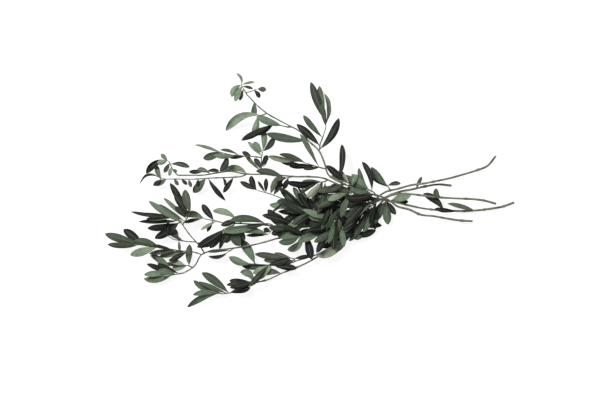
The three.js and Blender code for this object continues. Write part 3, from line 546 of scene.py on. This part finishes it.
class Nodes:
    """Short ways to add and join a tree's nodes."""

    def __init__(self, tree):
        self.tree = tree

    def add(self, kind, **settings):
        made = self.tree.nodes.new(kind)
        for key, value in settings.items():
            setattr(made, key, value)
        return made

    def put(self, socket, value):
        if isinstance(value, bpy.types.NodeSocket):
            self.tree.links.new(value, socket)
        else:
            socket.default_value = value

    def math(self, operation, a, b=0.0, c=0.0):
        made = self.add("ShaderNodeMath", operation=operation)
        for socket, value in zip(made.inputs, (a, b, c)):
            self.put(socket, value)
        return made.outputs[0]

    def mix(self, share, a, b, blend="MIX"):
        made = self.add("ShaderNodeMix", data_type="RGBA", blend_type=blend)
        self.put(made.inputs["Factor"], share)
        self.put(made.inputs[6], a)
        self.put(made.inputs[7], b)
        return made.outputs[2]

    def ramp(self, value, *stops):
        made = self.add("ShaderNodeValToRGB")
        made.color_ramp.elements[0].position, made.color_ramp.elements[0].color = stops[0]
        made.color_ramp.elements[1].position, made.color_ramp.elements[1].color = stops[-1]
        for place, colour in stops[1:-1]:
            made.color_ramp.elements.new(place).color = colour
        self.put(made.inputs["Fac"], value)
        return made.outputs["Color"]

    def between(self, value, low, high):
        made = self.add("ShaderNodeMapRange", interpolation_type="SMOOTHSTEP")
        for name, given in (("Value", value), ("From Min", low), ("From Max", high)):
            self.put(made.inputs[name], given)
        return made.outputs["Result"]

    def noise(self, place, scale, detail=2.0, rough=0.5):
        made = self.add("ShaderNodeTexNoise")
        for name, given in (("Vector", place), ("Scale", scale), ("Detail", detail), ("Roughness", rough)):
            self.put(made.inputs[name], given)
        return made.outputs["Fac"]

    def value(self, name):
        return self.add("ShaderNodeAttribute", attribute_name=name).outputs["Fac"]

    def vector(self, x, y, z):
        made = self.add("ShaderNodeCombineXYZ")
        for socket, value in zip(made.inputs, (x, y, z)):
            self.put(socket, value)
        return made.outputs[0]

    def group(self, group, **inputs):
        made = self.add("ShaderNodeGroup", node_tree=group)
        for name, value in inputs.items():
            self.put(made.inputs[name.replace("_", " ")], value)
        return made.outputs


def new_group(name, inputs, outputs):
    """A node group with named inputs and outputs."""
    tree = bpy.data.node_groups.new(name, "ShaderNodeTree")
    for label, kind, value in inputs:
        socket = tree.interface.new_socket(label, in_out="INPUT", socket_type=kind)
        if value is not None:
            socket.default_value = value
    for label, kind in outputs:
        tree.interface.new_socket(label, in_out="OUTPUT", socket_type=kind)
    nodes = Nodes(tree)
    return tree, nodes, nodes.add("NodeGroupInput").outputs, nodes.add("NodeGroupOutput").inputs


def make_mottle():
    """Soft blotches, where dry tissue is paler or darker."""
    tree, n, given, out = new_group(
        "dry mottle",
        (
            ("Place", "NodeSocketVector", None),
            ("Blotches", "NodeSocketFloat", 300.0),
            ("Low", "NodeSocketFloat", 0.4),
            ("High", "NodeSocketFloat", 0.62),
        ),
        (("Mask", "NodeSocketFloat"),),
    )
    blotch = n.noise(given["Place"], given["Blotches"], 4.0, 0.6)
    n.put(out["Mask"], n.between(blotch, given["Low"], given["High"]))
    return tree


def make_wrinkles():
    """Fine wrinkles and grains of a dried skin, as a height."""
    tree, n, given, out = new_group(
        "dry wrinkles",
        (
            ("Place", "NodeSocketVector", None),
            ("Grains", "NodeSocketFloat", 3000.0),
            ("Wrinkles", "NodeSocketFloat", 6.0),
            ("Along", "NodeSocketVector", None),
        ),
        (("Height", "NodeSocketFloat"), ("Grain", "NodeSocketFloat")),
    )
    grain = n.noise(given["Place"], given["Grains"], 3.0, 0.7)
    fold = n.noise(given["Along"], given["Wrinkles"], 4.0, 0.65)
    n.put(out["Height"], n.math("MULTIPLY_ADD", grain, 0.35, n.math("MULTIPLY", fold, 0.65)))
    n.put(out["Grain"], grain)
    return tree


def principled(name, gloss):
    """A material with a plain shader of this gloss, its nodes, and the shader's inputs."""
    material = bpy.data.materials.new(name)
    material.use_nodes = True
    tree = material.node_tree
    shader = tree.nodes["Principled BSDF"]
    shader.inputs["Specular IOR Level"].default_value = gloss
    return material, Nodes(tree), shader.inputs


def make_leaf_material(mottle, wrinkles):
    """Dried olive leaf: a dark, slightly waxy upper face, a pale felted underside, and a paler midrib."""
    material, n, shader = principled("dried_olive_leaf", gloss=0.1)
    along, across = n.value("leaf_along"), n.value("leaf_across")
    tone, age, upper = n.value("leaf_tone"), n.value("leaf_age"), n.value("leaf_side")
    place = n.add("ShaderNodeTexCoord").outputs["Object"]
    out = n.math("ABSOLUTE", across)
    grey_green, pale_vein, pale_rib = paint(66, 74, 60), paint(122, 134, 112), paint(122, 132, 104)
    dry_brown, stalk_green, pale_hair = paint(74, 66, 52), paint(92, 98, 74), paint(128, 136, 122)

    # The two faces, darker or paler from leaf to leaf
    top = n.ramp(
        tone,
        (0.0, paint(14, 15, 17)),
        (0.42, paint(22, 23, 24)),
        (0.64, paint(42, 47, 42)),
        (0.88, paint(76, 87, 72)),
        (1.0, paint(58, 56, 52)),
    )
    felt = n.ramp(
        tone,
        (0.0, paint(50, 59, 50)),
        (0.35, paint(80, 94, 78)),
        (0.75, paint(104, 118, 100)),
        (1.0, paint(126, 133, 118)),
    )
    colour = n.mix(upper, felt, top)

    blotches = n.group(mottle, Place=place, Blotches=170.0)["Mask"]
    blotched = n.mix(1.0, colour, paint(196, 200, 176), "MULTIPLY")
    colour = n.mix(n.math("MULTIPLY", blotches, 0.5), colour, blotched)
    shade = n.group(mottle, Place=place, Blotches=60.0, Low=0.45, High=0.7)["Mask"]
    colour = n.mix(n.math("MULTIPLY", shade, 0.18), colour, grey_green)

    # Side veins that slant from the midrib to the margin, and the midrib
    slant = n.math("MULTIPLY_ADD", out, -0.11, along)
    bend = n.noise(n.vector(along, across, tone), 3.0)
    rows = n.math("SINE", n.math("MULTIPLY", n.math("MULTIPLY_ADD", bend, 0.05, slant), 92.0))
    veins = n.between(rows, 0.72, 1.0)
    veins = n.math("MULTIPLY", veins, n.between(out, 0.98, 0.3))
    colour = n.mix(n.math("MULTIPLY", veins, 0.055), colour, pale_vein)
    rib = n.between(out, n.math("MULTIPLY_ADD", along, -0.05, 0.13), 0.03)
    colour = n.mix(n.math("MULTIPLY", rib, 0.26), colour, pale_rib)

    # Browned margin and tip, and the green stalk
    dry = n.group(mottle, Place=place, Blotches=230.0, Low=0.42, High=0.6)["Mask"]
    margin = n.math("MAXIMUM", n.between(out, 0.82, 1.0), n.between(along, 0.93, 1.0))
    margin = n.math("MULTIPLY", margin, n.math("MULTIPLY_ADD", dry, 0.5, n.math("MULTIPLY", age, 0.3)))
    colour = n.mix(margin, colour, dry_brown)
    stalk = n.between(along, 0.13, 0.03)
    colour = n.mix(n.math("MULTIPLY", stalk, 0.7), colour, stalk_green)

    # The skin: long fibres and fine pale hairs
    stretched = [n.math("MULTIPLY", value, by) for value, by in ((along, 2.0), (across, 3.0), (tone, 40.0))]
    fibres = n.vector(*stretched)
    skin = n.group(wrinkles, Place=place, Grains=2600.0, Wrinkles=4.0, Along=fibres)
    speck = n.math("MULTIPLY", n.between(skin["Grain"], 0.52, 0.68), 0.10)
    colour = n.mix(speck, colour, pale_hair)
    n.put(shader["Base Color"], colour)

    rough = n.math("MULTIPLY_ADD", upper, -0.24, 0.86)
    n.put(shader["Roughness"], n.math("MULTIPLY_ADD", skin["Grain"], 0.12, rough))
    height = n.math("MULTIPLY_ADD", veins, 0.25, skin["Height"])
    bump = n.add("ShaderNodeBump")
    bump.inputs["Strength"].default_value = 0.5
    bump.inputs["Distance"].default_value = 0.25 * MM
    n.put(bump.inputs["Height"], height)
    n.put(shader["Normal"], bump.outputs["Normal"])
    return material


def make_bark_material(name, mottle, wrinkles, deep, pale, lichen):
    """Olive bark: grey-green skin with long fine cracks and pale pores; the cut faces are bare wood."""
    material, n, shader = principled(name, gloss=0.22)
    place = n.add("ShaderNodeTexCoord").outputs["Object"]
    along, cut = n.value("wood_along"), n.value("wood_cut")
    patches = n.group(mottle, Place=place, Blotches=140.0, Low=0.35, High=0.65)["Mask"]
    colour = n.mix(patches, deep, pale)
    spots = n.group(mottle, Place=place, Blotches=520.0, Low=0.6, High=0.72)["Mask"]
    colour = n.mix(n.math("MULTIPLY", spots, 0.5), colour, lichen)
    strands = n.group(wrinkles, Place=place, Grains=2200.0, Wrinkles=420.0, Along=place)
    cracks = n.math("MULTIPLY", n.between(strands["Grain"], 0.5, 0.36), 0.4)
    colour = n.mix(cracks, colour, paint(62, 58, 46))
    bands = n.noise(n.vector(along, 0.0, 0.0), 0.35, 3.0)
    colour = n.mix(n.math("MULTIPLY", n.between(bands, 0.6, 0.72), 0.35), colour, paint(96, 88, 66))
    grain = n.noise(place, 1400.0, 2.0)
    wood = n.ramp(grain, (0.3, paint(150, 132, 96)), (0.7, paint(198, 184, 146)))
    colour = n.mix(cut, colour, wood)
    n.put(shader["Base Color"], colour)
    n.put(shader["Roughness"], n.math("MULTIPLY_ADD", strands["Grain"], 0.25, 0.62))
    bump = n.add("ShaderNodeBump")
    bump.inputs["Strength"].default_value = 0.7
    bump.inputs["Distance"].default_value = 0.3 * MM
    n.put(bump.inputs["Height"], strands["Height"])
    n.put(shader["Normal"], bump.outputs["Normal"])
    return material


mottle = make_mottle()
wrinkles = make_wrinkles()
leaf_material = make_leaf_material(mottle, wrinkles)
stem_material = make_bark_material(
    "olive_stem_bark", mottle, wrinkles, paint(72, 76, 63), paint(108, 111, 95), paint(136, 138, 122)
)
twig_material = make_bark_material(
    "olive_twig_skin", mottle, wrinkles, paint(54, 62, 47), paint(82, 90, 70), paint(106, 112, 93)
)

# ---------------------------------------------------------------- the bunch

grown = {}
for name in sorted(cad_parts):
    points, triangles = corners_and_triangles(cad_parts[name])
    near = neighbours_of(triangles, len(points))
    leaves, used = ([], set()) if name.startswith("stem") else read_leaves(points, near)
    wood = None if name.startswith("leaf") else read_wood(points, near, used, leaves)
    grown[name] = {"leaves": leaves, "wood": wood}


def ends_of(wood):
    """The rings that end a node's wood."""
    single = [i for i, joined in enumerate(wood["joined"]) if len(joined) == 1]
    return single or [0]


def nearest_wood(name, point):
    """How far the nearest wood of another node is from a point, and that place on it."""
    best = (1.0, point)
    for other, item in grown.items():
        if other == name or item["wood"] is None:
            continue
        middles, joined = item["wood"]["middles"], item["wood"]["joined"]
        for a in range(len(middles)):
            for b in joined[a]:
                if b < a:
                    continue
                leg = middles[b] - middles[a]
                t = np.clip((point - middles[a]) @ leg / max(leg @ leg, 1e-12), 0, 1)
                place = middles[a] + t * leg
                far = np.linalg.norm(point - place)
                if far < best[0]:
                    best = (far, place)
    return best


def fitted_radii(wood, way, usual):
    """The wood's radius at the start and end of a run, from its clean rings."""
    middles = wood["middles"][way]
    run = np.concatenate([[0], np.cumsum(np.linalg.norm(np.diff(middles, axis=0), axis=1))])
    clean = [i for i, k in enumerate(way) if wood["clean"][k] and 0 < i < len(way) - 1]
    if len(clean) < 3:
        return usual
    slope, start = np.polyfit(run[clean], [wood["sizes"][way[i]] for i in clean], 1)
    end = start + slope * run[-1]
    return max(start, end), max(LEAST_RADIUS, min(start, end))


# Every leaf and node gets its own chance shape and tone, the same in each run.
chance = np.random.default_rng(11)
for name, item in grown.items():
    pieces = []
    if item["leaves"]:
        shape = Shape("leaf_along", "leaf_across", "leaf_tone", "leaf_age")
        for leaf in item["leaves"]:
            grow_leaf(shape, leaf, chance)
        piece = shape.made(f"{name}_leaves", "leaf_side", leaf_material)
        pieces.append(piece)
    wood = item["wood"]
    if wood is not None:
        stem = name.startswith("stem")
        ends = ends_of(wood)
        if stem:
            root = max(ends, key=lambda i: wood["middles"][i][0])
        else:
            root = min(ends, key=lambda i: nearest_wood(name, wood["middles"][i])[0])
        shape = Shape("wood_along")
        main = True
        for way in wood_runs(wood, root):
            line = list(wood["middles"][way])
            if main and (not stem or name == FORKED_STEM):
                line.insert(0, nearest_wood(name, line[0])[1])
            slimmer = STEM_SLIMMER if stem else 1.0
            radii = [radius * slimmer for radius in fitted_radii(wood, way, TWIG_RADII)]
            if len(line) < 2 or np.linalg.norm(line[0] - line[-1]) < LEAST_RUN:
                continue
            even, run = smooth_line(line, STEM_STEP if stem else TWIG_STEP)
            grow_wood(
                shape,
                even,
                run,
                radii,
                STEM_SIDES if stem else TWIG_SIDES,
                STEM_NODE_GAP if stem else TWIG_NODE_GAP,
                chance,
                cut=stem and main,
            )
            main = False
        if shape.count:
            piece = shape.made(f"{name}_wood", "wood_cut", stem_material if stem else twig_material)
            pieces.append(piece)
    for piece in pieces:
        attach(piece, "root")
        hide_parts(name)

# ---------------------------------------------------------------- floor, light and camera


def make_floor():
    mesh = bpy.data.meshes.new("floor")
    corners = [(x * FLOOR_HALF, y * FLOOR_HALF, 0) for x, y in ((-1, -1), (1, -1), (1, 1), (-1, 1))]
    mesh.from_pydata(corners, [], [(0, 1, 2, 3)])
    material, _, shader = principled("pale_floor", gloss=0.0)
    shader["Base Color"].default_value = (FLOOR_TONE, FLOOR_TONE, FLOOR_TONE, 1.0)
    shader["Emission Color"].default_value = (1.0, 1.0, 1.0, 1.0)
    shader["Emission Strength"].default_value = FLOOR_GLOW
    shader["Roughness"].default_value = 1.0
    mesh.materials.append(material)
    floor = bpy.data.objects.new("floor", mesh)
    bpy.context.scene.collection.objects.link(floor)


def make_light():
    """One large soft light from behind the bunch, on its leafy side."""
    data = bpy.data.lights.new("soft_key", "AREA")
    data.shape, data.size, data.energy = "DISK", KEY_SIZE, KEY_POWER
    light = bpy.data.objects.new("soft_key", data)
    light.location = KEY_PLACE
    light.rotation_mode = "QUATERNION"
    light.rotation_quaternion = Vector([-k for k in KEY_PLACE]).to_track_quat("-Z", "Y")
    bpy.context.scene.collection.objects.link(light)


make_floor()
make_light()
world = bpy.data.worlds.new("studio")
world.use_nodes = True
world.node_tree.nodes["Background"].inputs["Color"].default_value = (1, 1, 1, 1)
world.node_tree.nodes["Background"].inputs["Strength"].default_value = SKY_STRENGTH
bpy.context.scene.world = world
bpy.context.scene.view_settings.view_transform = "Standard"

# The camera looks straight down at the middle of the view, a little towards the leafy end and the front.
size = np.array(frame_high) - np.array(frame_low)
aim = np.array(frame_low) + size * np.array(VIEW_MIDDLE)
camera_data = bpy.data.cameras.new("camera")
camera_data.lens, camera_data.sensor_width = LENS, SENSOR
camera_data.clip_end = FAR_ENOUGH
camera = bpy.data.objects.new("camera", camera_data)
camera.location = aim + np.array([0, 0, VIEW_IN_LENGTHS * size[0] * LENS / SENSOR])
camera.rotation_euler = (0, 0, 0)
bpy.context.scene.collection.objects.link(camera)
bpy.context.scene.camera = camera
